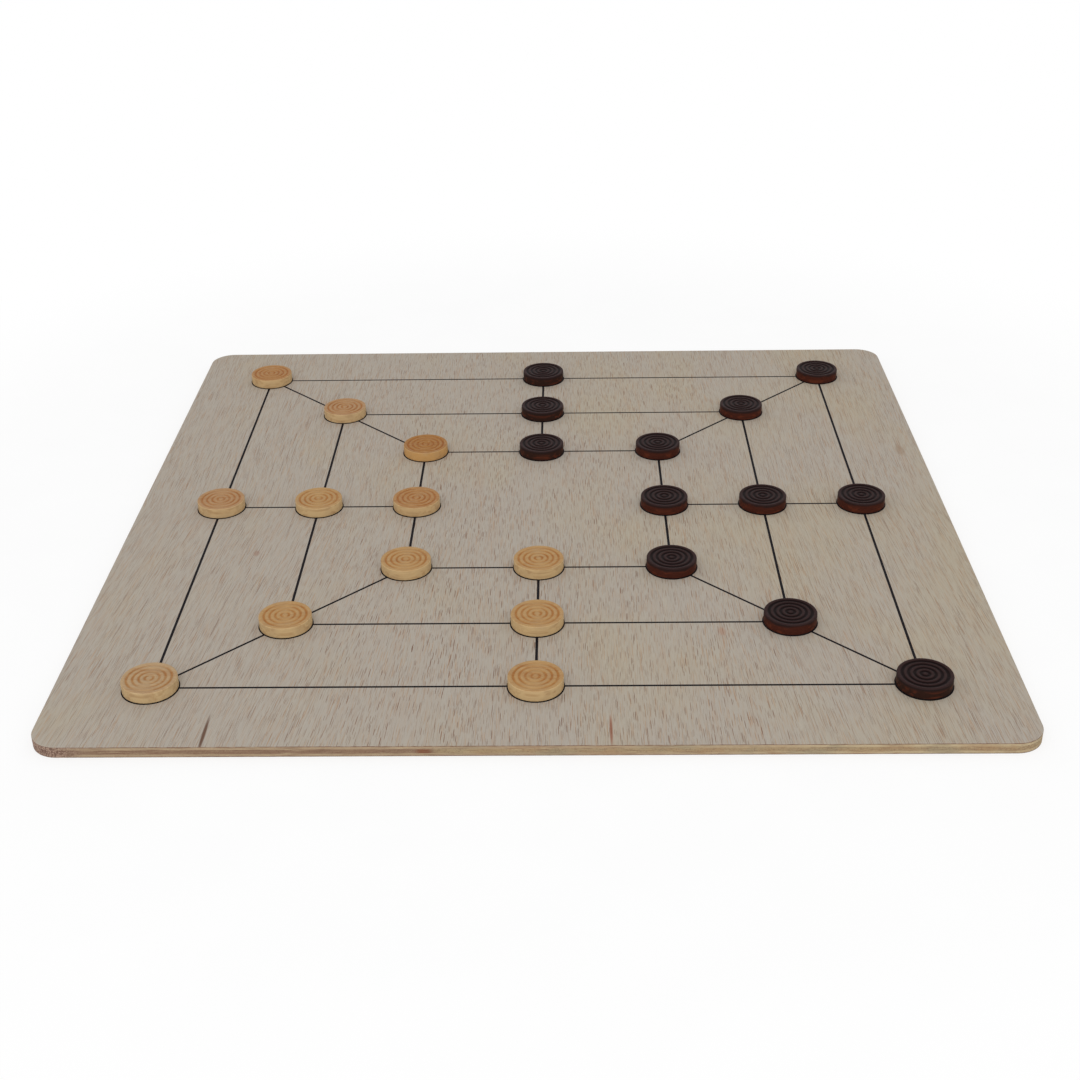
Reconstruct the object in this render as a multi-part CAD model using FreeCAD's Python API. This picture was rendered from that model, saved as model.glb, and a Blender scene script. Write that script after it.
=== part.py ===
import FreeCAD, Part
import math
import os

# Morabaraba board: a square of five-ply wood with the game's lines drawn on it,
# and twenty-four turned wooden discs, one on every point.
# Millimetres, Z up. The origin is the middle of the underside, where the board rests.
# The player in front of the board looks along +Y.

# Board
BOARD_SIDE = 500.0
CORNER_RADIUS = 15.0
FACE_VENEER_THICKNESS = 0.5
CROSSBAND_THICKNESS = 1.4
CORE_THICKNESS = 2.5
EDGE_EASING = 0.3

# Playing discs
DISC_DIAMETER = 29.0
DISC_HEIGHT = 6.6
DISC_EDGE_RADIUS = 0.7
GROOVE_COUNT = 4
FIRST_GROOVE_RADIUS = 2.2
GROOVE_PITCH = 3.15
GROOVE_WIDTH = 1.3
GROOVE_DEPTH = 0.45
RIDGE_SETBACK = 0.1

# Drawn lines and rings: paint in shallow grooves, level with the face
SQUARE_MARGIN = 51.0
SQUARE_SPACING = 61.0
LINE_WIDTH = 1.5
RING_WIDTH = 1.5
RING_REVEAL = 0.6
PAINT_DEPTH = 0.2
RING_OUTER_DIAMETER = DISC_DIAMETER + 2 * RING_REVEAL

# Heights that follow from the plies
UNDERSIDE = 0.0
LOWER_CROSSBAND_BASE = UNDERSIDE + FACE_VENEER_THICKNESS
CORE_BASE = LOWER_CROSSBAND_BASE + CROSSBAND_THICKNESS
UPPER_CROSSBAND_BASE = CORE_BASE + CORE_THICKNESS
TOP_VENEER_BASE = UPPER_CROSSBAND_BASE + CROSSBAND_THICKNESS
PLAYING_FACE = TOP_VENEER_BASE + FACE_VENEER_THICKNESS

# Half sides of the outer, middle and inner squares
SQUARES = [BOARD_SIDE / 2 - SQUARE_MARGIN - level * SQUARE_SPACING for level in range(3)]

# The eight directions from the middle of the board to the points of a square,
# in order round the square, corners and middles in turn
DIRECTIONS = [(-1, -1), (0, -1), (1, -1), (1, 0), (1, 1), (0, 1), (-1, 1), (-1, 0)]

COLUMN_LETTERS = "abcdefg"


def write(shape, node):
    """Writes one sub-part as parts/NODE.step."""
    shape.exportStep(os.path.join("parts", node + ".step"))


def point(half_side, direction, height):
    """Where a direction meets a square, at a height."""
    return FreeCAD.Vector(half_side * direction[0], half_side * direction[1], height)


def point_name(level, direction):
    """The players' name for a point: a column letter and a row number, a1 nearest on the left."""
    steps = 3 - level
    column = COLUMN_LETTERS[3 + steps * direction[0]]
    row = 4 + steps * direction[1]
    return column + str(row)


def board_plate(base, thickness):
    """One ply: a square plate with rounded corners."""
    corner = FreeCAD.Vector(-BOARD_SIDE / 2, -BOARD_SIDE / 2, base)
    plate = Part.makeBox(BOARD_SIDE, BOARD_SIDE, thickness, corner)
    upright = [edge for edge in plate.Edges if is_upright(edge)]
    return plate.makeFillet(CORNER_RADIUS, upright)


def is_upright(edge):
    """True for an edge that runs along Z."""
    start = edge.Vertexes[0].Point
    end = edge.Vertexes[-1].Point
    return abs(start.x - end.x) + abs(start.y - end.y) < 1e-6


def eased_plate(base, thickness, outer_height):
    """A face veneer, with its outer arris eased all round."""
    plate = board_plate(base, thickness)
    easing = min(EDGE_EASING, thickness / 2)
    arris = [edge for edge in plate.Edges if lies_at(edge, outer_height)]
    return plate.makeFillet(easing, arris)


def lies_at(edge, height):
    """True for an edge that lies wholly at one height."""
    return all(abs(vertex.Point.z - height) < 1e-6 for vertex in edge.Vertexes)


def ring_cylinder(centre, diameter):
    """An upright cylinder through the paint's depth, under the playing face."""
    base = FreeCAD.Vector(centre.x, centre.y, PLAYING_FACE - PAINT_DEPTH)
    return Part.makeCylinder(diameter / 2, PAINT_DEPTH, base)


def painted_ring(centre):
    """The ring round one point."""
    outer = ring_cylinder(centre, RING_OUTER_DIAMETER)
    inner = ring_cylinder(centre, RING_OUTER_DIAMETER - 2 * RING_WIDTH)
    return outer.cut(inner)


def painted_line(start, end):
    """A straight line between the rings of two points, ending against both."""
    along = end - start
    length = along.Length
    base = FreeCAD.Vector(0, -LINE_WIDTH / 2, PLAYING_FACE - PAINT_DEPTH)
    bar = Part.makeBox(length, LINE_WIDTH, PAINT_DEPTH, base)
    turn = math.degrees(math.atan2(along.y, along.x))
    bar.rotate(FreeCAD.Vector(0, 0, 0), FreeCAD.Vector(0, 0, 1), turn)
    bar.translate(FreeCAD.Vector(start.x, start.y, 0))
    for centre in (start, end):
        bar = bar.cut(ring_cylinder(centre, RING_OUTER_DIAMETER))
    return bar.Solids[0]


def square_lines(half_side):
    """The eight stretches of line round one square."""
    lines = []
    for index, direction in enumerate(DIRECTIONS):
        following = DIRECTIONS[(index + 1) % len(DIRECTIONS)]
        start = point(half_side, direction, PLAYING_FACE)
        end = point(half_side, following, PLAYING_FACE)
        lines.append(painted_line(start, end))
    return Part.makeCompound(lines)


def joining_lines(directions):
    """The lines that join the three squares along the given directions."""
    lines = []
    for direction in directions:
        for outside, inside in zip(SQUARES, SQUARES[1:]):
            start = point(outside, direction, PLAYING_FACE)
            end = point(inside, direction, PLAYING_FACE)
            lines.append(painted_line(start, end))
    return Part.makeCompound(lines)


def point_rings():
    """The rings round all twenty-four points."""
    rings = []
    for half_side in SQUARES:
        for direction in DIRECTIONS:
            rings.append(painted_ring(point(half_side, direction, PLAYING_FACE)))
    return Part.makeCompound(rings)


def drawing():
    """Everything painted on the face, by node name."""
    middles = [direction for direction in DIRECTIONS if 0 in direction]
    corners = [direction for direction in DIRECTIONS if 0 not in direction]
    return {
        "outer_square_lines": square_lines(SQUARES[0]),
        "middle_square_lines": square_lines(SQUARES[1]),
        "inner_square_lines": square_lines(SQUARES[2]),
        "midpoint_lines": joining_lines(middles),
        "corner_lines": joining_lines(corners),
        "point_rings": point_rings(),
    }


def top_face_veneer(painted):
    """The face ply, with a groove for every painted line and ring."""
    veneer = eased_plate(TOP_VENEER_BASE, FACE_VENEER_THICKNESS, PLAYING_FACE)
    for shape in painted:
        veneer = veneer.cut(shape)
    return veneer.Solids[0]


def arc_through(first, middle, last):
    """An arc in the XZ plane through three places given as radius and height."""
    places = [FreeCAD.Vector(radius, 0, height) for radius, height in (first, middle, last)]
    return Part.Arc(*places).toShape()


def straight(first, last):
    """A straight edge in the XZ plane."""
    start = FreeCAD.Vector(first[0], 0, first[1])
    end = FreeCAD.Vector(last[0], 0, last[1])
    return Part.LineSegment(start, end).toShape()


def turned_face(rim, outwards):
    """The wavy top or bottom of a disc, from the axis to where its rounded edge begins.

    rim is the height of the rim, and outwards is 1 on the top and -1 on the bottom.
    Narrow hollow arcs and wide ridge arcs share the depth as they share the pitch,
    so that they meet at nearly one slope.
    """
    crest = rim - outwards * RIDGE_SETBACK
    groove = crest - outwards * GROOVE_DEPTH
    meeting = groove + outwards * GROOVE_DEPTH * GROOVE_WIDTH / GROOVE_PITCH
    reach = GROOVE_WIDTH / 2
    dome_foot = FIRST_GROOVE_RADIUS - reach
    rise = abs(crest - meeting)
    dome_radius = (dome_foot ** 2 + rise ** 2) / (2 * rise)
    half_angle = math.asin(dome_foot / dome_radius) / 2
    dome_middle_height = crest - outwards * dome_radius * (1 - math.cos(half_angle))
    dome_middle = (dome_radius * math.sin(half_angle), dome_middle_height)
    edges = [arc_through((0, crest), dome_middle, (dome_foot, meeting))]
    for count in range(GROOVE_COUNT):
        radius = FIRST_GROOVE_RADIUS + count * GROOVE_PITCH
        near = (radius - reach, meeting)
        far = (radius + reach, meeting)
        edges.append(arc_through(near, (radius, groove), far))
        if count < GROOVE_COUNT - 1:
            ridge = (radius + GROOVE_PITCH / 2, crest)
            edges.append(arc_through(far, ridge, (radius + GROOVE_PITCH - reach, meeting)))
    rim_start = far[0] + reach
    edges.append(straight(far, (rim_start, rim)))
    edges.append(straight((rim_start, rim), (DISC_DIAMETER / 2 - DISC_EDGE_RADIUS, rim)))
    return edges


def rounded_edge(rim, outwards):
    """The quarter round between a disc's face and its side."""
    inset = DISC_EDGE_RADIUS * (1 - math.cos(math.pi / 4))
    side = DISC_DIAMETER / 2
    first = (side - DISC_EDGE_RADIUS, rim)
    middle = (side - inset, rim - outwards * inset)
    last = (side, rim - outwards * DISC_EDGE_RADIUS)
    return arc_through(first, middle, last)


def disc(centre):
    """One turned disc, its rim resting on the playing face."""
    base = PLAYING_FACE
    top = PLAYING_FACE + DISC_HEIGHT
    axis_places = (0, base + RIDGE_SETBACK), (0, top - RIDGE_SETBACK)
    side = DISC_DIAMETER / 2
    side_places = (side, base + DISC_EDGE_RADIUS), (side, top - DISC_EDGE_RADIUS)
    edges = turned_face(top, 1) + turned_face(base, -1)
    edges += [rounded_edge(top, 1), rounded_edge(base, -1)]
    edges += [straight(*axis_places), straight(*side_places)]
    profile = Part.Face(Part.Wire(Part.__sortEdges__(edges)))
    solid = profile.revolve(FreeCAD.Vector(0, 0, 0), FreeCAD.Vector(0, 0, 1), 360)
    solid.translate(FreeCAD.Vector(centre.x, centre.y, 0))
    return solid


def is_light(direction):
    """Light discs stand on the left and at the front middle, dark ones on the rest."""
    return direction[0] < 0 or direction == (0, -1)


os.makedirs("parts", exist_ok=True)

painted = drawing()
for node, shape in painted.items():
    write(shape, node)

write(top_face_veneer(painted.values()), "top_face_veneer")
write(board_plate(UPPER_CROSSBAND_BASE, CROSSBAND_THICKNESS), "upper_crossband")
write(board_plate(CORE_BASE, CORE_THICKNESS), "core_ply")
write(board_plate(LOWER_CROSSBAND_BASE, CROSSBAND_THICKNESS), "lower_crossband")
write(eased_plate(UNDERSIDE, FACE_VENEER_THICKNESS, UNDERSIDE), "bottom_face_veneer")

for level, half_side in enumerate(SQUARES):
    for direction in DIRECTIONS:
        tone = "light" if is_light(direction) else "dark"
        node = tone + "_disc_" + point_name(level, direction)
        write(disc(point(half_side, direction, PLAYING_FACE)), node)
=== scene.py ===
import math
import random

import bpy
from bpy.props import FloatProperty, FloatVectorProperty, IntProperty, PointerProperty
from mathutils import Matrix, Vector


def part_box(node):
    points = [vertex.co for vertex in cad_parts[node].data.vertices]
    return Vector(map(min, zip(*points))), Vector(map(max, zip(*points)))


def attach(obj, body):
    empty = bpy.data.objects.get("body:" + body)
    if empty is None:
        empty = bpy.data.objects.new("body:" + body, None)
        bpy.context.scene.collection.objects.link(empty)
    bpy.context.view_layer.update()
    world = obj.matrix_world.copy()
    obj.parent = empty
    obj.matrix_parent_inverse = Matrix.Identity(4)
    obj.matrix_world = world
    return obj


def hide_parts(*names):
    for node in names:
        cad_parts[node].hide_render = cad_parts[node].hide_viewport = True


bl_info = {
    "name": "Morabaraba board",
    "version": (1, 0, 0),
    "blender": (4, 5, 0),
    "location": "View3D > Sidebar > Morabaraba",
    "description": "Dresses a plywood morabaraba board and its turned wooden discs",
    "category": "Object",
}

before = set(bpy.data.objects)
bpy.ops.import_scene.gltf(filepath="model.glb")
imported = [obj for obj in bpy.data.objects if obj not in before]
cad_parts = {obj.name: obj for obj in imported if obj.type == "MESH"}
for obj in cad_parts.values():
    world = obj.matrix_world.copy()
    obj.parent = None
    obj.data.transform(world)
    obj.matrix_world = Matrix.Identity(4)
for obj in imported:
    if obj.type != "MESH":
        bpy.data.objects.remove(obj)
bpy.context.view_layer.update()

MM = 0.001
LIGHT_DISC_NODES = sorted(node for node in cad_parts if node.startswith("light_disc_"))
DARK_DISC_NODES = sorted(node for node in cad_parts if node.startswith("dark_disc_"))
LINE_NODES = ("outer_square_lines", "middle_square_lines", "inner_square_lines",
              "midpoint_lines", "corner_lines", "point_rings")

DISC_LOW, DISC_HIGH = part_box(LIGHT_DISC_NODES[0])
BOARD_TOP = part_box("top_face_veneer")[1].z

# Slopes of the grain on the near half of the face, towards the left and the right
LEFT_LEAN = -0.10
RIGHT_LEAN = 0.08


def paint(red, green, blue):
    """A colour as it is seen on a screen, 0 to 255, turned into the linear values that Blender uses."""
    def linear(level):
        share = level / 255
        return share / 12.92 if share <= 0.04045 else ((share + 0.055) / 1.055) ** 2.4
    return (linear(red), linear(green), linear(blue))


def colour_property(name, description, default):
    """A colour that a user can change."""
    return FloatVectorProperty(name=name, description=description, default=default,
                               subtype="COLOR", size=3, min=0.0, max=1.0)


def length_property(name, description, default):
    """A length that a user can change, in metres."""
    return FloatProperty(name=name, description=description, default=default,
                         unit="LENGTH", min=0.0, precision=5)


# Settings

class BoardSettings(bpy.types.PropertyGroup):
    """Colours and grain sizes of the plywood and of the lines on it."""

    face: colour_property("Face wood", "Bare wood of the face veneers", paint(173, 164, 149))
    face_warm: colour_property("Warm patches", "Yellower areas of the face", paint(171, 161, 143))
    face_grey: colour_property("Grey patches", "Cooler areas of the face", paint(169, 161, 150))
    halo: colour_property("Stain round pores", "Brownish stain in the grain", paint(166, 124, 84))
    pore: colour_property("Pores", "Short dark pores in the face", paint(104, 56, 20))
    band_left: colour_property("Crossband, left", "Crossbands on the left", paint(166, 144, 118))
    band_right: colour_property("Crossband, right", "Crossbands on the right",
                                paint(184, 166, 134))
    core_brown: colour_property("Core, brown part", "Left part of the core", paint(136, 110, 90))
    core_tan: colour_property("Core, tan part", "Right part of the core", paint(160, 140, 110))
    end_grain: colour_property("End grain", "Fibre ends on the sawn edge", paint(112, 84, 68))
    line: colour_property("Line paint", "Black of the lines and rings", paint(24, 22, 25))
    pore_width: length_property("Pore width", "Width of the widest pores", 0.36 * MM)
    pore_length: length_property("Pore length", "Length of the longest pores", 10 * MM)


class DiscSettings(bpy.types.PropertyGroup):
    """Sizes of a turned disc and the colours of its two woods."""

    diameter: length_property("Diameter", "Across a disc", DISC_HIGH.x - DISC_LOW.x)
    height: length_property("Height", "From rim to rim", DISC_HIGH.z - DISC_LOW.z)
    edge_radius: length_property("Edge radius", "Rounding of the rims", 0.7 * MM)
    first_groove: length_property("First groove", "Radius of the innermost groove", 2.2 * MM)
    groove_pitch: length_property("Groove pitch", "From groove to groove", 3.15 * MM)
    groove_width: length_property("Groove width", "Width of the hollow part", 1.3 * MM)
    groove_depth: length_property("Groove depth", "From ridge to groove", 0.45 * MM)
    ridge_setback: length_property("Ridge setback", "From rim down to the ridges", 0.1 * MM)
    groove_count: IntProperty(name="Grooves", description="Grooves on each face", default=4,
                              min=1, max=8)
    sides: IntProperty(name="Sides", description="Facets round a disc", default=96, min=24,
                       max=144)
    amber: colour_property("Amber wood", "The most orange light discs", paint(150, 102, 52))
    tawny: colour_property("Tawny wood", "Orange-brown light discs", paint(160, 116, 72))
    honey: colour_property("Honey wood", "Yellow light discs", paint(170, 134, 89))
    blush: colour_property("Blush wood", "Pinkish light discs", paint(164, 126, 90))
    cream: colour_property("Cream wood", "The palest light discs", paint(170, 143, 110))
    pale_side: colour_property("Pale side", "Sides of most light discs", paint(211, 184, 138))
    tan_side: colour_property("Tan side", "Sides of the orange discs", paint(210, 164, 104))
    # Tint for the light discs' grooves: partly the end grain's own tone, partly painted shade in the
    # hollows.
    groove_grain_and_shade: colour_property("Burnish", "Tint of the wood in light grooves", (0.82, 0.58, 0.35))
    stain_top: colour_property("Stain on top", "Turned faces of the dark discs", paint(51, 35, 34))
    stain_red: colour_property("Red stain", "Sides of the redder discs", paint(72, 36, 27))
    stain_brown: colour_property("Brown stain", "Sides of the browner discs", paint(50, 32, 26))
    # Near-black for the dark discs' grooves: the stain's own dark, with painted shade in the hollows.
    groove_stain_and_shade: colour_property("Stained groove", "Grooves of the dark discs", paint(19, 8, 8))


class StageSettings(bpy.types.PropertyGroup):
    """Camera, lights and floor."""

    lens: FloatProperty(name="Lens", description="Focal length for a 36 mm wide picture, in mm",
                        default=53.28, min=10.0, max=300.0)
    camera_place: FloatVectorProperty(name="Camera place", description="Where the camera stands",
                                      default=(0.0170, -0.8811, 0.4710), unit="LENGTH", size=3)
    swing: FloatProperty(name="Swing", description="Camera turn to the left", unit="ROTATION",
                         default=math.radians(1.14))
    tilt: FloatProperty(name="Tilt", description="Camera tilt, 90 degrees is level",
                        unit="ROTATION", default=math.radians(60.96))
    roll: FloatProperty(name="Roll", description="Camera roll", unit="ROTATION",
                        default=math.radians(-0.95))
    floor_side: length_property("Floor side", "Side of the square floor", 12.0)
    key_power: FloatProperty(name="Key light", description="Power of the large front light",
                             unit="POWER", default=61.0, min=0.0)
    sky: FloatProperty(name="Sky", description="Strength of the even light from all sides",
                       default=0.76, min=0.0)


# Materials

class Finish:
    """A material being made: its nodes, and short calls that add one and link it."""

    def __init__(self, name):
        self.material = bpy.data.materials.new(name)
        self.material.use_nodes = True
        self.nodes = self.material.node_tree.nodes
        self.links = self.material.node_tree.links
        self.shader = self.nodes["Principled BSDF"]
        self.coordinates = self.nodes.new("ShaderNodeTexCoord")

    def put(self, value, socket):
        """Links an output to a socket, or sets the socket's own value."""
        if isinstance(value, bpy.types.NodeSocket):
            self.links.new(value, socket)
        elif value is not None:
            wants_alpha = socket.type == "RGBA" and len(value) == 3
            socket.default_value = (*value, 1.0) if wants_alpha else value

    def place(self):
        """The object's own coordinates, in metres."""
        return self.coordinates.outputs["Object"]

    def attribute(self, name, output="Fac"):
        """A value that the mesh carries."""
        reader = self.nodes.new("ShaderNodeAttribute")
        reader.attribute_name = name
        return reader.outputs[output]

    def stretched(self, place, across, along, grain_axis, shift=(0.0, 0.0, 0.0)):
        """Coordinates counted in cells: `across` and `along` the grain, in metres per cell."""
        scale = [1 / across] * 3
        scale["XYZ".index(grain_axis)] = 1 / along
        mapping = self.nodes.new("ShaderNodeMapping")
        self.put(place, mapping.inputs["Vector"])
        mapping.inputs["Scale"].default_value = scale
        mapping.inputs["Location"].default_value = shift
        return mapping.outputs["Vector"]

    def noise(self, place, detail=2.0, roughness=0.5, distortion=0.0):
        """Smooth noise, one lump per cell, 0 to 1."""
        texture = self.nodes.new("ShaderNodeTexNoise")
        self.put(place, texture.inputs["Vector"])
        texture.inputs["Scale"].default_value = 1.0
        texture.inputs["Detail"].default_value = detail
        texture.inputs["Roughness"].default_value = roughness
        texture.inputs["Distortion"].default_value = distortion
        return texture.outputs["Fac"]

    def cells(self, place):
        """Centres scattered over the XY plane: the distance to the nearest, and its own colour.

        The distance is a blunt one: places at the same distance make a rounded square.
        """
        texture = self.nodes.new("ShaderNodeTexVoronoi")
        texture.voronoi_dimensions = "2D"
        texture.distance = "MINKOWSKI"
        texture.inputs["Exponent"].default_value = 3.0
        self.put(place, texture.inputs["Vector"])
        texture.inputs["Scale"].default_value = 1.0
        return texture.outputs["Distance"], texture.outputs["Color"]

    def sum(self, operation, first, second=None, third=None, clamp=False):
        """A math node."""
        math_node = self.nodes.new("ShaderNodeMath")
        math_node.operation = operation
        math_node.use_clamp = clamp
        for value, socket in zip((first, second, third), math_node.inputs):
            self.put(value, socket)
        return math_node.outputs["Value"]

    def vector_sum(self, operation, first, second, result="Vector"):
        """A vector math node."""
        math_node = self.nodes.new("ShaderNodeVectorMath")
        math_node.operation = operation
        for value, socket in zip((first, second), math_node.inputs):
            self.put(value, socket)
        return math_node.outputs[result]

    def ease(self, value, low, high, bottom=0.0, top=1.0):
        """The value's climb from low to high, as a smooth step from bottom to top."""
        reach = self.nodes.new("ShaderNodeMapRange")
        reach.interpolation_type = "SMOOTHSTEP"
        for socket, given in zip(("Value", "From Min", "From Max", "To Min", "To Max"),
                                 (value, low, high, bottom, top)):
            self.put(given, reach.inputs[socket])
        return reach.outputs["Result"]

    def blend(self, share, first, second, mode="MIX"):
        """One colour laid over another by a share."""
        mix = self.nodes.new("ShaderNodeMix")
        mix.data_type = "RGBA"
        mix.blend_type = mode
        self.put(share, mix.inputs["Factor"])
        self.put(first, mix.inputs[6])
        self.put(second, mix.inputs[7])
        return mix.outputs[2]

    def normal_part(self, axis):
        """How squarely the surface faces along an axis, 0 to 1."""
        split = self.nodes.new("ShaderNodeSeparateXYZ")
        self.put(self.coordinates.outputs["Normal"], split.inputs["Vector"])
        return self.sum("ABSOLUTE", split.outputs[axis])

    def place_part(self, place, axis):
        """One coordinate of a place."""
        split = self.nodes.new("ShaderNodeSeparateXYZ")
        self.put(place, split.inputs["Vector"])
        return split.outputs[axis]

    def bump(self, height, distance, normal=None):
        """A fine relief of the given depth, in metres."""
        relief = self.nodes.new("ShaderNodeBump")
        relief.inputs["Distance"].default_value = distance
        self.put(height, relief.inputs["Height"])
        self.put(normal, relief.inputs["Normal"])
        return relief.outputs["Normal"]

    def finish(self, colour, roughness, normal=None, specular=0.3):
        """Hands colour, roughness and relief to the shader."""
        self.put(colour, self.shader.inputs["Base Color"])
        self.put(roughness, self.shader.inputs["Roughness"])
        self.put(normal, self.shader.inputs["Normal"])
        self.shader.inputs["Specular IOR Level"].default_value = specular
        return self.material


def wandering(finish, place, grain_axis, sway):
    """The place, pushed gently to and fro across the grain so that no fibre runs dead straight."""
    drift = finish.noise(finish.stretched(place, 0.045, 0.11, grain_axis, (3.1, 5.7, 1.3)), 0.0)
    return pushed(finish, place, grain_axis, finish.sum("MULTIPLY_ADD", drift, 2 * sway, -sway))


def pushed(finish, place, grain_axis, distance):
    """The place, pushed a distance across the grain."""
    push = finish.nodes.new("ShaderNodeCombineXYZ")
    finish.put(distance, push.inputs["Y" if grain_axis == "X" else "X"])
    return finish.vector_sum("ADD", place, push.outputs["Vector"])


def leaning(finish, place):
    """The place, sheared so that the near grain leans towards the middle of the board."""
    across = finish.place_part(place, 0)
    left = finish.ease(across, -0.16, 0.0, LEFT_LEAN, 0.0)
    right = finish.ease(across, 0.07, 0.17, 0.0, RIGHT_LEAN)
    nearness = finish.sum("MINIMUM", finish.place_part(place, 1), 0.0)
    lean = finish.sum("ADD", left, right)
    return pushed(finish, place, "Y", finish.sum("MULTIPLY", lean, nearness))


def flecks(finish, place, size, apart, strength, shift):
    """Flecks along Y, each of its own size and strength, most of them weak: 0 where there is none.

    size is the width and length of the largest fleck, apart is how many such widths and
    lengths each fleck has to itself, and strength is that of the weakest and the strongest.
    """
    width, length = size
    weakest, strongest = strength
    cell = finish.stretched(place, apart * width, apart * length, "Y", shift)
    distance, chance = finish.cells(cell)
    reach = finish.ease(finish.place_part(chance, 0), 0.0, 1.0, 0.28 / apart, 0.5 / apart)
    inside = finish.ease(finish.sum("DIVIDE", distance, reach), 0.6, 1.0, 1.0, 0.0)
    rank = finish.sum("POWER", finish.place_part(chance, 2), 1.8)
    opacity = finish.sum("MULTIPLY_ADD", rank, strongest - weakest, weakest)
    return finish.sum("MULTIPLY", inside, opacity)


def grain_mark(finish, place, centre, half_width, half_length):
    """One long natural mark that runs with the grain along Y, 1 in its middle."""
    away = finish.vector_sum("SUBTRACT", place, (*centre, BOARD_TOP))
    share = finish.vector_sum("MULTIPLY", away, (1 / half_width, 1 / half_length, 0.0))
    distance = finish.vector_sum("LENGTH", share, None, "Value")
    return finish.ease(distance, 0.35, 1.0, 1.0, 0.0)


def face_colour(finish, settings, place):
    """The bare wood between the pores: warm and grey patches, faint bands and fine fibres."""
    patches = finish.noise(finish.stretched(place, 0.05, 0.1, "Y", (7.7, 1.9, 0.0)), 3.0)
    rightwards = finish.ease(finish.place_part(place, 0), -0.15, 0.24, -0.42, -0.22)
    warmth = finish.sum("MULTIPLY_ADD", patches, 1.4, rightwards)
    colour = finish.blend(finish.ease(warmth, 0.2, 0.8), settings.face_grey[:],
                          settings.face_warm[:])
    bands = finish.noise(finish.stretched(place, 0.005, 0.08, "Y"), 3.0, 0.6)
    colour = finish.blend(finish.ease(bands, 0.5, 0.8, 0.0, 0.14), colour, settings.halo[:])
    colour = finish.blend(finish.ease(bands, 0.2, 0.48, 0.5, 0.0), colour, settings.face[:])
    fibres = finish.noise(finish.stretched(place, 0.0005, 0.014, "Y"), 4.0, 0.65)
    colour = finish.blend(finish.ease(fibres, 0.5, 0.8, 0.0, 0.35), colour, paint(187, 177, 160))
    colour = finish.blend(finish.ease(fibres, 0.22, 0.5, 0.3, 0.0), colour, settings.halo[:])
    return colour, fibres


def face_pores(finish, settings, place):
    """Stains round the pores, and the pores: short in the middle, longer towards the sides."""
    width, length = settings.pore_width, settings.pore_length
    crowding = finish.noise(finish.stretched(place, 0.02, 0.04, "Y", (2.0, 9.0, 4.0)), 3.0)
    crowded = finish.ease(crowding, 0.3, 0.6, 0.7, 1.0)
    sideways = finish.ease(finish.sum("ABSOLUTE", finish.place_part(place, 0)), 0.04, 0.19)
    stains = flecks(finish, place, (1.5 * width, 1.6 * length), 1.2, (0.0, 0.5),
                    (3.3, 8.1, 0.0))
    deep = flecks(finish, place, (width, length), 2.0, (0.05, 0.92), (0.0, 0.0, 0.0))
    dashes = flecks(finish, place, (0.85 * width, 0.8 * length), 1.7, (0.05, 0.62),
                    (11.3, 4.1, 0.0))
    short = finish.sum("MULTIPLY", finish.sum("MAXIMUM", deep, dashes),
                       finish.ease(sideways, 0.0, 1.0, 1.0, 0.5))
    streaks = flecks(finish, place, (0.7 * width, 2.6 * length), 1.6, (0.05, 0.75),
                     (5.9, 17.7, 0.0))
    long = finish.sum("MULTIPLY", streaks, finish.ease(sideways, 0.0, 1.0, 0.4, 1.0))
    pored = finish.sum("MULTIPLY", finish.sum("MAXIMUM", short, long), crowded)
    return finish.sum("MULTIPLY", stains, crowded), pored


def grown_marks(finish, place, colour):
    """The few larger natural marks of the playing face."""
    marks = (((0.0377, -0.238), (0.0011, 0.017), 0.8, paint(138, 86, 64)),
             ((-0.1635, -0.24), (0.0013, 0.021), 0.9, paint(92, 62, 45)),
             ((0.1003, -0.1475), (0.0028, 0.0062), 0.45, paint(160, 116, 88)),
             ((-0.1675, -0.0583), (0.0026, 0.0045), 0.5, paint(146, 110, 92)),
             ((0.237, 0.075), (0.004, 0.011), 0.45, paint(140, 112, 86)))
    for centre, reach, strength, stain in marks:
        share = grain_mark(finish, place, centre, *reach)
        colour = finish.blend(finish.sum("MULTIPLY", share, strength), colour, stain)
    return colour


def face_veneer_finish(settings, name, marked):
    """Bare, greyish face wood with brown pores along Y, and a dark, broken sawn edge."""
    finish = Finish(name)
    place = leaning(finish, wandering(finish, finish.place(), "Y", 0.0015))
    colour, fibres = face_colour(finish, settings, place)
    stains, pored = face_pores(finish, settings, place)
    colour = finish.blend(stains, colour, settings.halo[:])
    colour = finish.blend(pored, colour, settings.pore[:])
    if marked:
        colour = grown_marks(finish, finish.place(), colour)
    level = finish.ease(finish.normal_part("Z"), 0.3, 0.9)
    broken = finish.noise(finish.stretched(place, 0.003, 0.003, "Y"), 3.0)
    sawn_share = finish.sum("MULTIPLY", finish.sum("SUBTRACT", 1.0, level),
                            finish.ease(broken, 0.32, 0.6, 0.55, 1.0))
    colour = finish.blend(sawn_share, colour, settings.end_grain[:])
    colour = corner_burr(finish, finish.place(), colour)
    relief = finish.sum("SUBTRACT", finish.sum("MULTIPLY", fibres, 0.35), pored)
    roughness = finish.ease(fibres, 0.2, 0.8, 0.68, 0.82)
    return finish.finish(colour, roughness, finish.bump(relief, 0.0001), 0.12)


def corner_burr(finish, place, colour):
    """Torn, reddish fibres on the sawn edge of the near left corner."""
    away = finish.vector_sum("SUBTRACT", place, (-0.246, -0.246, 0.0))
    distance = finish.vector_sum("LENGTH", away, None, "Value")
    upright = finish.ease(finish.normal_part("Z"), 0.2, 0.8, 1.0, 0.0)
    near = finish.sum("MULTIPLY", finish.ease(distance, 0.008, 0.03, 0.9, 0.0), upright)
    torn = finish.noise(finish.stretched(place, 0.0008, 0.0008, "X"), 3.0, 0.7)
    burr = finish.blend(finish.ease(torn, 0.42, 0.6), paint(100, 74, 66), paint(170, 144, 128))
    return finish.blend(near, colour, burr)


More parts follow.
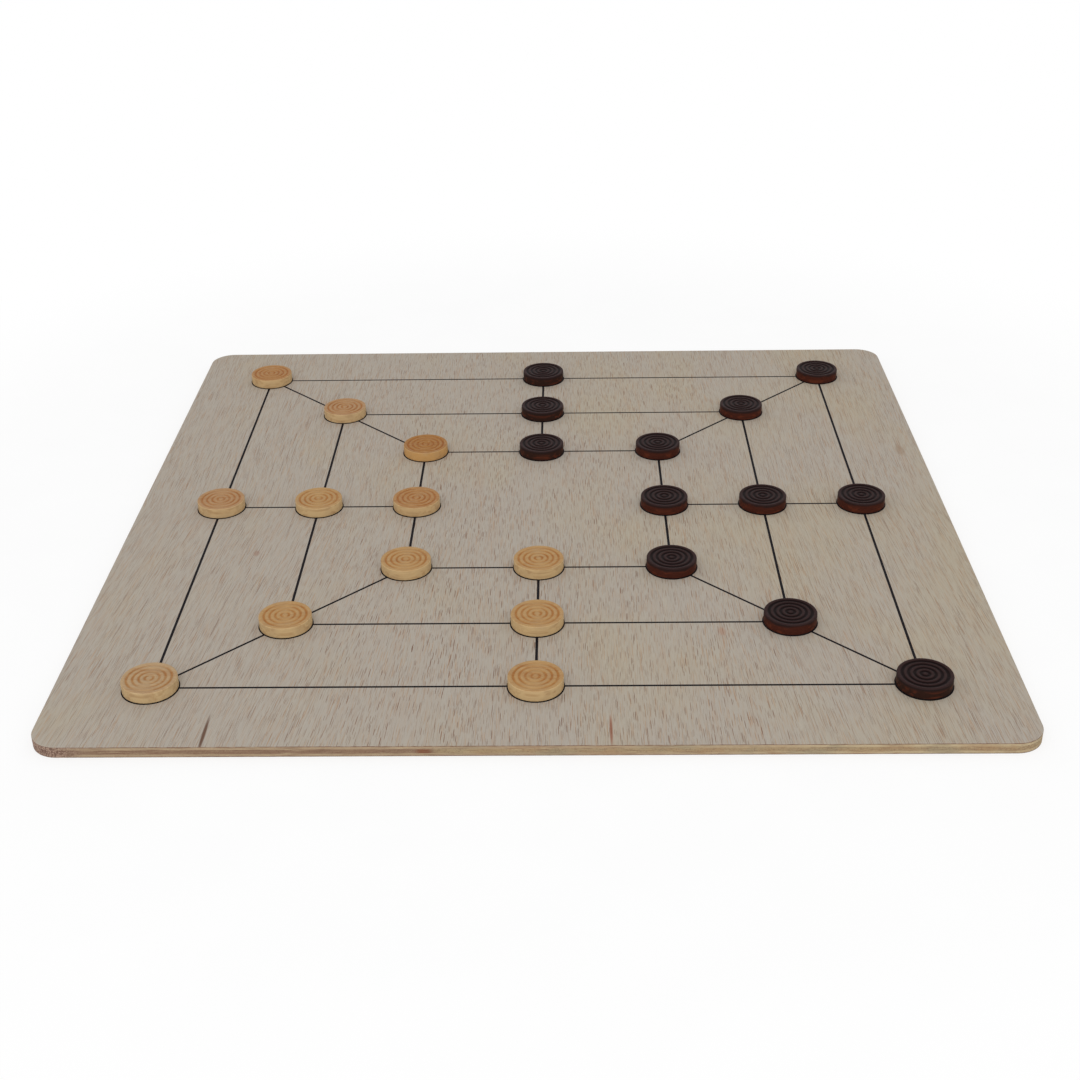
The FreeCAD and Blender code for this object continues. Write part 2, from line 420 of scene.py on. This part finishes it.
def inner_ply_finish(settings, name, wood, grain_axis):
    """An inner ply, seen only on the sawn edge: streaks along the edge and mottled fibre ends.

    wood takes the finish and the place and gives the ply's own colour.
    """
    finish = Finish(name)
    place = finish.place()
    colour = wood(finish, place)
    streaks = finish.noise(finish.stretched(place, 0.0005, 0.014, "X", (0.0, 4.0, 1.0)), 4.0, 0.65)
    colour = finish.blend(finish.ease(streaks, 0.5, 0.68, 0.0, 0.7), colour,
                          settings.end_grain[:])
    colour = finish.blend(finish.ease(streaks, 0.3, 0.48, 0.75, 0.0), colour,
                          settings.band_right[:])
    patches = finish.noise(finish.stretched(place, 0.006, 0.016, "X", (4.0, 2.0, 0.0)), 3.0)
    rightwards = finish.ease(finish.place_part(place, 0), -0.07, 0.0, 0.15, 1.0)
    olive = finish.sum("MULTIPLY", finish.ease(patches, 0.48, 0.66, 0.0, 0.5), rightwards)
    colour = finish.blend(olive, colour, paint(148, 138, 114))
    ruddy = finish.sum("MULTIPLY", finish.ease(patches, 0.32, 0.46, 0.3, 0.0), rightwards)
    colour = finish.blend(ruddy, colour, paint(160, 122, 88))
    ends = finish.ease(finish.normal_part(grain_axis), 0.25, 0.9, 0.35, 1.0)
    mottle = finish.noise(finish.stretched(place, 0.0008, 0.0012, grain_axis), 3.0, 0.65)
    end_share = finish.sum("MULTIPLY", ends, finish.ease(mottle, 0.45, 0.75, 0.0, 0.55))
    colour = finish.blend(end_share, colour, settings.end_grain[:])
    colour = corner_burr(finish, place, colour)
    relief = finish.sum("ADD", streaks, finish.sum("MULTIPLY", mottle, ends))
    return finish.finish(colour, finish.ease(streaks, 0.2, 0.8, 0.7, 0.86),
                         finish.bump(relief, 0.00015), 0.1)


def crossband_colour(settings):
    """The pale plies, paler towards the right."""
    def wood(finish, place):
        rightwards = finish.ease(finish.place_part(place, 0), 0.0, 0.2)
        return finish.blend(rightwards, settings.band_left[:], settings.band_right[:])
    return wood


def core_colour(settings):
    """The core: two strips of veneer side by side, brown on the left and tan on the right."""
    def wood(finish, place):
        joint = finish.ease(finish.place_part(place, 0), -0.052, -0.046)
        drift = finish.noise(finish.stretched(place, 0.05, 0.05, "X"), 2.0)
        tan = finish.blend(finish.ease(drift, 0.35, 0.65, 0.0, 0.6), settings.core_tan[:],
                           paint(166, 142, 108))
        stain = grain_mark(finish, place, (-0.054, -0.25), 0.005, 0.05)
        stained = finish.blend(finish.sum("MULTIPLY", stain, 0.75), settings.core_brown[:],
                               paint(122, 70, 46))
        return finish.blend(joint, stained, tan)
    return wood


def line_finish(settings):
    """Matt black paint, a little worn where fibres stand up through it."""
    finish = Finish("line_paint")
    place = finish.place()
    worn = finish.noise(finish.stretched(place, 0.0006, 0.004, "Y"), 4.0, 0.65)
    thin = finish.noise(finish.stretched(place, 0.02, 0.03, "Y"), 2.0)
    colour = finish.blend(finish.ease(worn, 0.6, 0.85, 0.0, 0.25), settings.line[:],
                          paint(78, 68, 62))
    colour = finish.blend(finish.ease(thin, 0.5, 0.75, 0.0, 0.3), colour, paint(36, 33, 38))
    return finish.finish(colour, finish.ease(worn, 0.3, 0.7, 0.6, 0.8),
                         finish.bump(worn, 0.00005), 0.06)


def light_wood_finish(settings, name, wood, side_wood):
    """Turned natural wood: soft growth streaks, grooves darkened with end-grain tone and painted shade,
    paler sides, and a painted highlight on the rims.
    """
    finish = Finish(name)
    stock = finish.attribute("wood_place", "Vector")
    facing = finish.ease(finish.normal_part("Z"), 0.25, 0.75)
    side = finish.blend(0.7, wood, side_wood)
    colour = finish.blend(facing, side, wood)
    # Painted highlight: a pale band along the rounded rims, where the edge between face and side
    # catches the light.
    painted_arris = finish.sum("MULTIPLY", facing, finish.sum("SUBTRACT", 1.0, facing))
    colour = finish.blend(finish.sum("MULTIPLY", painted_arris, 2.4), colour, paint(214, 188, 146))
    growth = finish.noise(finish.stretched(stock, 0.0026, 0.05, "X"), 3.0, 0.55, 0.4)
    colour = finish.blend(finish.ease(growth, 0.45, 0.68, 0.0, 0.4), colour,
                          paint(146, 98, 56))
    fibres = finish.noise(finish.stretched(stock, 0.00035, 0.006, "X"), 3.0, 0.6)
    colour = finish.blend(finish.ease(fibres, 0.42, 0.72, 0.0, 0.42), colour,
                          paint(200, 168, 122))
    blotches = finish.noise(finish.stretched(stock, 0.006, 0.008, "X", (5.0, 1.0, 2.0)), 2.0)
    colour = finish.blend(finish.ease(blotches, 0.45, 0.75, 0.0, 0.28), colour,
                          paint(160, 134, 104))
    # Grooves darkened by a tint: partly the end grain's own tone, strongest where the grooves cross the
    # grain, partly painted shade in the hollows, broken up by the blotches.
    groove = finish.ease(finish.attribute("groove"), 0.2, 1.0)
    ends = finish.ease(finish.attribute("end_grain"), 0.1, 0.9, 0.15, 1.0)
    groove_blotchiness = finish.ease(blotches, 0.25, 0.6, 0.55, 1.0)
    groove_grain_and_shade = finish.sum("MULTIPLY", groove, finish.sum("MULTIPLY", ends, groove_blotchiness))
    colour = finish.blend(groove_grain_and_shade, colour, settings.groove_grain_and_shade[:], "MULTIPLY")
    turning = finish.noise(finish.stretched(finish.attribute("turned_place", "Vector"),
                                            0.00028, 0.02, "X"), 2.0)
    relief = finish.sum("ADD", fibres, turning)
    return finish.finish(colour, finish.ease(fibres, 0.2, 0.8, 0.46, 0.62),
                         finish.bump(relief, 0.00003), 0.08)


def dark_wood_finish(settings, name, stain):
    """The same wood stained: nearly black on the turned faces, red-brown low on the side."""
    finish = Finish(name)
    stock = finish.attribute("wood_place", "Vector")
    growth = finish.noise(finish.stretched(stock, 0.0026, 0.045, "X"), 3.0, 0.55, 0.4)
    fibres = finish.noise(finish.stretched(stock, 0.0004, 0.007, "X"), 3.0, 0.6)
    top = finish.blend(finish.ease(growth, 0.4, 0.7, 0.0, 0.4), settings.stain_top[:],
                       paint(34, 22, 20))
    # Grooves painted near-black: the stain's own dark red, with painted shade in the hollows.
    top = finish.blend(finish.ease(finish.attribute("groove"), 0.05, 0.65, 0.0, 0.95), top,
                       settings.groove_stain_and_shade[:])
    side = finish.blend(finish.ease(fibres, 0.38, 0.7, 0.0, 0.5), stain, paint(42, 22, 17))
    side = finish.blend(finish.ease(growth, 0.48, 0.66, 0.0, 0.6), side, paint(98, 48, 31))
    # The side turns darker towards its top, broken up by the growth streaks.
    darker_upwards = finish.sum("ADD", finish.attribute("height_share"),
                        finish.sum("MULTIPLY", finish.sum("SUBTRACT", growth, 0.5), 0.9))
    side = finish.blend(finish.ease(darker_upwards, 0.6, 0.95, 0.0, 0.9), side, paint(36, 28, 28))
    facing = finish.ease(finish.normal_part("Z"), 0.12, 0.6)
    colour = finish.blend(facing, side, top)
    # Painted sheen: a cool grey band along the rounded rims, standing in for the light they reflect.
    painted_arris = finish.sum("MULTIPLY", facing, finish.sum("SUBTRACT", 1.0, facing))
    colour = finish.blend(finish.sum("MULTIPLY", painted_arris, 2.0), colour, paint(40, 36, 38))
    turning = finish.noise(finish.stretched(finish.attribute("turned_place", "Vector"),
                                            0.00028, 0.02, "X"), 2.0)
    relief = finish.sum("ADD", fibres, turning)
    return finish.finish(colour, finish.ease(fibres, 0.2, 0.8, 0.36, 0.5),
                         finish.bump(relief, 0.00003), 0.03)


def dress(node, material):
    """Gives a CAD node one material all over."""
    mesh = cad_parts[node].data
    mesh.materials.clear()
    mesh.materials.append(material)


# Turning the discs

def groove_share(settings, radius):
    """How deep the turned face lies at a radius, from 0 on a ridge to 1 in a groove's middle.

    Narrow hollows and wide ridges, both parabolas, share the depth as they share the pitch.
    """
    half_hollow = settings.groove_width / 2
    hollow_depth = settings.groove_width / settings.groove_pitch
    number = round((radius - settings.first_groove) / settings.groove_pitch)
    number = min(max(number, 0), settings.groove_count - 1)
    middle = settings.first_groove + number * settings.groove_pitch
    away = abs(radius - middle)
    if away <= half_hollow:
        return 1 - hollow_depth * (away / half_hollow) ** 2
    half_ridge = (settings.groove_pitch - settings.groove_width) / 2
    if radius > middle and number == settings.groove_count - 1:
        return (1 - hollow_depth) * max(0.0, 2 - away / half_hollow)
    if radius < middle and number == 0:
        half_ridge = settings.first_groove - half_hollow
    return (1 - hollow_depth) * (1 - (away - half_hollow) / half_ridge) ** 2


def turned_depth(settings, radius):
    """How far the turned face lies under its rim at a radius."""
    rim_start = outermost_groove(settings) + settings.groove_width
    setback = settings.ridge_setback if radius < rim_start else 0.0
    return setback + settings.groove_depth * groove_share(settings, radius)


def outermost_groove(settings):
    """The radius of the groove nearest the rim."""
    return settings.first_groove + (settings.groove_count - 1) * settings.groove_pitch


def turned_radii(settings):
    """The radii, from the rim inwards, that draw the profile of a turned face."""
    half_hollow = settings.groove_width / 2
    half_ridge = (settings.groove_pitch - settings.groove_width) / 2
    radii = [outermost_groove(settings) + 2 * half_hollow]
    for number in reversed(range(settings.groove_count)):
        middle = settings.first_groove + number * settings.groove_pitch
        radii += [middle + share * half_hollow for share in (1, 0.6, 0.3, 0, -0.3, -0.6, -1)]
        if number > 0:
            crest = middle - half_hollow - half_ridge
            radii += [crest + share * half_ridge for share in (0.6, 0.25, -0.25, -0.6)]
    dome_foot = settings.first_groove - half_hollow
    return radii + [dome_foot * 0.7, dome_foot * 0.4, dome_foot * 0.15]


def select_only(piece):
    """Deselects everything, then selects one object and makes it active."""
    bpy.ops.object.select_all(action="DESELECT")
    piece.select_set(True)
    bpy.context.view_layer.objects.active = piece


def select_faces(piece, wanted):
    """In edit mode, selects the faces for which wanted(centre, normal) is true."""
    bpy.ops.mesh.select_all(action="DESELECT")
    bpy.ops.mesh.select_mode(type="FACE")
    bpy.ops.object.mode_set(mode="OBJECT")
    for face in piece.data.polygons:
        face.select = wanted(face.center, face.normal)
    bpy.ops.object.mode_set(mode="EDIT")


def turn_blank(settings):
    """Turns one disc on its own axis: a round blank, its rims rounded, both faces grooved."""
    radius = settings.diameter / 2
    bpy.ops.object.select_all(action="DESELECT")
    bpy.ops.mesh.primitive_cylinder_add(vertices=settings.sides, radius=radius,
                                        depth=settings.height, end_fill_type="NGON",
                                        location=(0.0, 0.0, settings.height / 2))
    blank = bpy.context.active_object
    blank.name = "turned_blank"
    bpy.ops.object.transform_apply(location=True, rotation=False, scale=False)
    bpy.ops.object.mode_set(mode="EDIT")
    select_faces(blank, lambda centre, normal: abs(normal.z) > 0.9)
    bpy.ops.mesh.bevel(offset=settings.edge_radius, segments=6, affect="EDGES")
    for upwards in (1, -1):
        select_faces(blank, lambda centre, normal: is_cap(centre, normal, upwards))
        reached = radius - settings.edge_radius
        depth = 0.0
        for next_radius in turned_radii(settings):
            next_depth = turned_depth(settings, next_radius)
            bpy.ops.mesh.inset(thickness=reached - next_radius, depth=depth - next_depth)
            reached = next_radius
            depth = next_depth
        bpy.ops.mesh.merge(type="CENTER")
    bpy.ops.object.mode_set(mode="OBJECT")
    bpy.ops.object.shade_smooth()
    return blank


def is_cap(centre, normal, upwards):
    """True for the flat face at the top (upwards 1) or bottom (upwards -1) of the blank."""
    return normal.z * upwards > 0.9 and Vector((centre.x, centre.y)).length < 1e-5


def carry(mesh, name, kind, values):
    """Stores a value for every vertex, for the material to read."""
    attribute = mesh.attributes.new(name, kind, "POINT")
    field = "vector" if kind == "FLOAT_VECTOR" else "value"
    flat = [number for value in values for number in value] if field == "vector" else values
    attribute.data.foreach_set(field, flat)


def describe_wood(mesh, settings, turn, stock):
    """Stores how the disc was cut from its plank: its grain runs along X after a turn."""
    rotation = Matrix.Rotation(turn, 3, "Z")
    plank = Vector((0.13, 0.37, 0.71)) * stock
    rim_inside = settings.diameter / 2 - settings.edge_radius
    places, turned, grooves, ends, heights = [], [], [], [], []
    for vertex in mesh.vertices:
        place = vertex.co
        distance = math.hypot(place.x, place.y)
        around = math.atan2(place.y, place.x) * rim_inside
        places.append(rotation @ place + plank)
        turned.append((around, distance, place.z + stock))
        grooves.append(groove_share(settings, distance) if distance < rim_inside else 0.0)
        ends.append(abs((rotation @ place).x) / max(distance, MM))
        heights.append(place.z / settings.height)
    carry(mesh, "wood_place", "FLOAT_VECTOR", places)
    carry(mesh, "turned_place", "FLOAT_VECTOR", turned)
    carry(mesh, "groove", "FLOAT", grooves)
    carry(mesh, "end_grain", "FLOAT", ends)
    carry(mesh, "height_share", "FLOAT", heights)


def set_out(blank, node, settings, material, chance):
    """Copies the blank to a node's place, gives it its own wood, and lets it ride."""
    low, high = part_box(node)
    disc = blank.copy()
    disc.data = blank.data.copy()
    disc.name = node.replace("_disc_", "_turned_disc_")
    bpy.context.scene.collection.objects.link(disc)
    describe_wood(disc.data, settings, math.radians(chance.uniform(-14, 14)), chance.uniform(0, 40))
    disc.data.transform(Matrix.Translation(((low.x + high.x) / 2, (low.y + high.y) / 2, low.z)))
    disc.data.materials.clear()
    disc.data.materials.append(material)
    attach(disc, "disc_" + node.rsplit("_", 1)[1])
    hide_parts(node)
    return disc


# Operators

class MORABARABA_OT_face_veneers(bpy.types.Operator):
    """Finish the two face veneers as bare wood"""

    bl_idname = "morabaraba.face_veneers"
    bl_label = "Face veneers"

    def execute(self, context):
        settings = context.scene.morabaraba_board
        dress("top_face_veneer", face_veneer_finish(settings, "playing_face_wood", True))
        dress("bottom_face_veneer", face_veneer_finish(settings, "underside_wood", False))
        return {"FINISHED"}


class MORABARABA_OT_inner_plies(bpy.types.Operator):
    """Finish the sawn edges of the crossbands and the core"""

    bl_idname = "morabaraba.inner_plies"
    bl_label = "Inner plies"

    def execute(self, context):
        settings = context.scene.morabaraba_board
        crossband = inner_ply_finish(settings, "crossband_wood", crossband_colour(settings), "X")
        core = inner_ply_finish(settings, "core_wood", core_colour(settings), "Y")
        dress("upper_crossband", crossband)
        dress("lower_crossband", crossband)
        dress("core_ply", core)
        return {"FINISHED"}


class MORABARABA_OT_painted_lines(bpy.types.Operator):
    """Finish the squares, the joining lines and the rings as black paint"""

    bl_idname = "morabaraba.painted_lines"
    bl_label = "Painted lines"

    def execute(self, context):
        black = line_finish(context.scene.morabaraba_board)
        for node in LINE_NODES:
            dress(node, black)
        return {"FINISHED"}


class MORABARABA_OT_light_discs(bpy.types.Operator):
    """Turn the light discs and set them out"""

    bl_idname = "morabaraba.light_discs"
    bl_label = "Light discs"

    def execute(self, context):
        settings = context.scene.morabaraba_discs
        sides = {"amber": settings.tan_side, "tawny": settings.pale_side,
                 "honey": settings.pale_side, "blush": settings.pale_side,
                 "cream": settings.pale_side}
        woods = {name: light_wood_finish(settings, name + "_wood", getattr(settings, name)[:],
                                         side[:]) for name, side in sides.items()}
        grown = {"c5": "amber", "a7": "tawny", "c4": "tawny", "d1": "honey", "d2": "honey",
                 "d3": "honey", "c3": "honey", "b2": "honey", "b4": "honey", "b6": "blush",
                 "a4": "blush", "a1": "cream"}
        chance = random.Random(24)
        blank = turn_blank(settings)
        for node in LIGHT_DISC_NODES:
            wood = woods[grown[node.rsplit("_", 1)[1]]]
            set_out(blank, node, settings, wood, chance)
        bpy.data.objects.remove(blank)
        return {"FINISHED"}


class MORABARABA_OT_dark_discs(bpy.types.Operator):
    """Turn the dark discs and set them out"""

    bl_idname = "morabaraba.dark_discs"
    bl_label = "Dark discs"

    def execute(self, context):
        settings = context.scene.morabaraba_discs
        red = dark_wood_finish(settings, "red_stained_wood", settings.stain_red[:])
        brown = dark_wood_finish(settings, "brown_stained_wood", settings.stain_brown[:])
        chance = random.Random(12)
        blank = turn_blank(settings)
        for node in DARK_DISC_NODES:
            wood = brown if node.rsplit("_", 1)[1] in ("d5", "d6", "d7", "g1") else red
            set_out(blank, node, settings, wood, chance)
        bpy.data.objects.remove(blank)
        return {"FINISHED"}


def seen_share(nodes, links):
    """1 where a ray comes straight from the camera, or by a reflection or through glass."""
    rays = nodes.new("ShaderNodeLightPath")
    share = rays.outputs["Is Camera Ray"]
    for name in ("Is Glossy Ray", "Is Transmission Ray"):
        either = nodes.new("ShaderNodeMath")
        either.operation = "MAXIMUM"
        links.new(share, either.inputs[0])
        links.new(rays.outputs[name], either.inputs[1])
        share = either.outputs["Value"]
    return share


def floor_finish():
    """A white floor: it keeps the board's shadow, and turns pure white away from the board."""
    finish = Finish("studio_floor")
    speckle = finish.noise(finish.stretched(finish.place(), 0.05, 0.05, "X"), 2.0)
    colour = finish.blend(finish.ease(speckle, 0.3, 0.7), (0.93, 0.93, 0.93),
                          (0.95, 0.95, 0.95))
    finish.finish(colour, finish.ease(speckle, 0.3, 0.7, 0.85, 0.95), None, 0.0)
    away = finish.vector_sum("LENGTH", finish.place(), None, "Value")
    white_share = finish.ease(away, 0.33, 0.6, 0.72, 1.0)
    share = finish.sum("MULTIPLY", seen_share(finish.nodes, finish.links), white_share)
    glow = finish.nodes.new("ShaderNodeEmission")
    glow.inputs["Strength"].default_value = 1.0
    both = finish.nodes.new("ShaderNodeMixShader")
    finish.put(share, both.inputs["Fac"])
    finish.links.new(finish.shader.outputs["BSDF"], both.inputs[1])
    finish.links.new(glow.outputs["Emission"], both.inputs[2])
    finish.links.new(both.outputs["Shader"], finish.nodes["Material Output"].inputs["Surface"])
    return finish.material


def even_sky(strength):
    """An even white sky that lights at a strength and is seen as white."""
    world = bpy.data.worlds.new("even_sky")
    world.use_nodes = True
    nodes, links = world.node_tree.nodes, world.node_tree.links
    level = nodes.new("ShaderNodeMath")
    level.operation = "MULTIPLY_ADD"
    links.new(seen_share(nodes, links), level.inputs[0])
    level.inputs[1].default_value = 1 - strength
    level.inputs[2].default_value = strength
    background = nodes["Background"]
    background.inputs["Color"].default_value = (1.0, 1.0, 1.0, 1.0)
    links.new(level.outputs["Value"], background.inputs["Strength"])
    return world


def soft_light(name, place, aim, side, power):
    """A large square lamp at a place, aimed at a point."""
    lamp = bpy.data.lights.new(name, "AREA")
    lamp.shape = "SQUARE"
    lamp.size = side
    lamp.energy = power
    holder = bpy.data.objects.new(name, lamp)
    holder.location = place
    direction = Vector(aim) - Vector(place)
    holder.rotation_euler = direction.to_track_quat("-Z", "Y").to_euler()
    bpy.context.scene.collection.objects.link(holder)
    return holder


class MORABARABA_OT_stage(bpy.types.Operator):
    """Set up the floor, the lights and the camera"""

    bl_idname = "morabaraba.stage"
    bl_label = "Stage"

    def execute(self, context):
        settings = context.scene.morabaraba_stage
        bpy.ops.object.select_all(action="DESELECT")
        bpy.ops.mesh.primitive_plane_add(size=settings.floor_side, location=(0.0, 0.0, 0.0))
        floor = context.active_object
        floor.name = "studio_floor"
        floor.data.materials.append(floor_finish())
        soft_light("key_light", (-0.3, -3.0, 3.0), (0.0, 0.0, 0.0), 2.6, settings.key_power)
        context.scene.world = even_sky(settings.sky)
        self.place_camera(context, settings)
        context.scene.view_settings.view_transform = "Standard"
        return {"FINISHED"}

    def place_camera(self, context, settings):
        """The photograph's viewpoint: low in front of the board, a little to the right."""
        lens = bpy.data.cameras.new("camera")
        lens.lens = settings.lens
        lens.sensor_width = 36.0
        lens.clip_start = 0.01
        camera = bpy.data.objects.new("camera", lens)
        context.scene.collection.objects.link(camera)
        aim = (Matrix.Rotation(settings.swing, 4, "Z") @ Matrix.Rotation(settings.tilt, 4, "X")
               @ Matrix.Rotation(settings.roll, 4, "Z"))
        camera.matrix_world = Matrix.Translation(settings.camera_place) @ aim
        context.scene.camera = camera


class MORABARABA_PT_panel(bpy.types.Panel):
    """Lists the steps that dress the board"""

    bl_label = "Morabaraba board"
    bl_idname = "MORABARABA_PT_panel"
    bl_space_type = "VIEW_3D"
    bl_region_type = "UI"
    bl_category = "Morabaraba"

    def draw(self, context):
        for step in STEPS:
            self.layout.operator(step.bl_idname)


STEPS = (MORABARABA_OT_face_veneers, MORABARABA_OT_inner_plies, MORABARABA_OT_painted_lines,
         MORABARABA_OT_light_discs, MORABARABA_OT_dark_discs, MORABARABA_OT_stage)
CLASSES = (BoardSettings, DiscSettings, StageSettings, *STEPS, MORABARABA_PT_panel)


def register():
    """Makes the settings, the steps and the panel known to Blender."""
    for each in CLASSES:
        bpy.utils.register_class(each)
    bpy.types.Scene.morabaraba_board = PointerProperty(type=BoardSettings)
    bpy.types.Scene.morabaraba_discs = PointerProperty(type=DiscSettings)
    bpy.types.Scene.morabaraba_stage = PointerProperty(type=StageSettings)


def unregister():
    """Takes them away again."""
    del bpy.types.Scene.morabaraba_stage
    del bpy.types.Scene.morabaraba_discs
    del bpy.types.Scene.morabaraba_board
    for each in reversed(CLASSES):
        bpy.utils.unregister_class(each)


def main():
    """Dresses the board from a fresh start."""
    register()
    bpy.ops.morabaraba.face_veneers()
    bpy.ops.morabaraba.inner_plies()
    bpy.ops.morabaraba.painted_lines()
    bpy.ops.morabaraba.light_discs()
    bpy.ops.morabaraba.dark_discs()
    bpy.ops.morabaraba.stage()


if __name__ == "__main__":
    main()
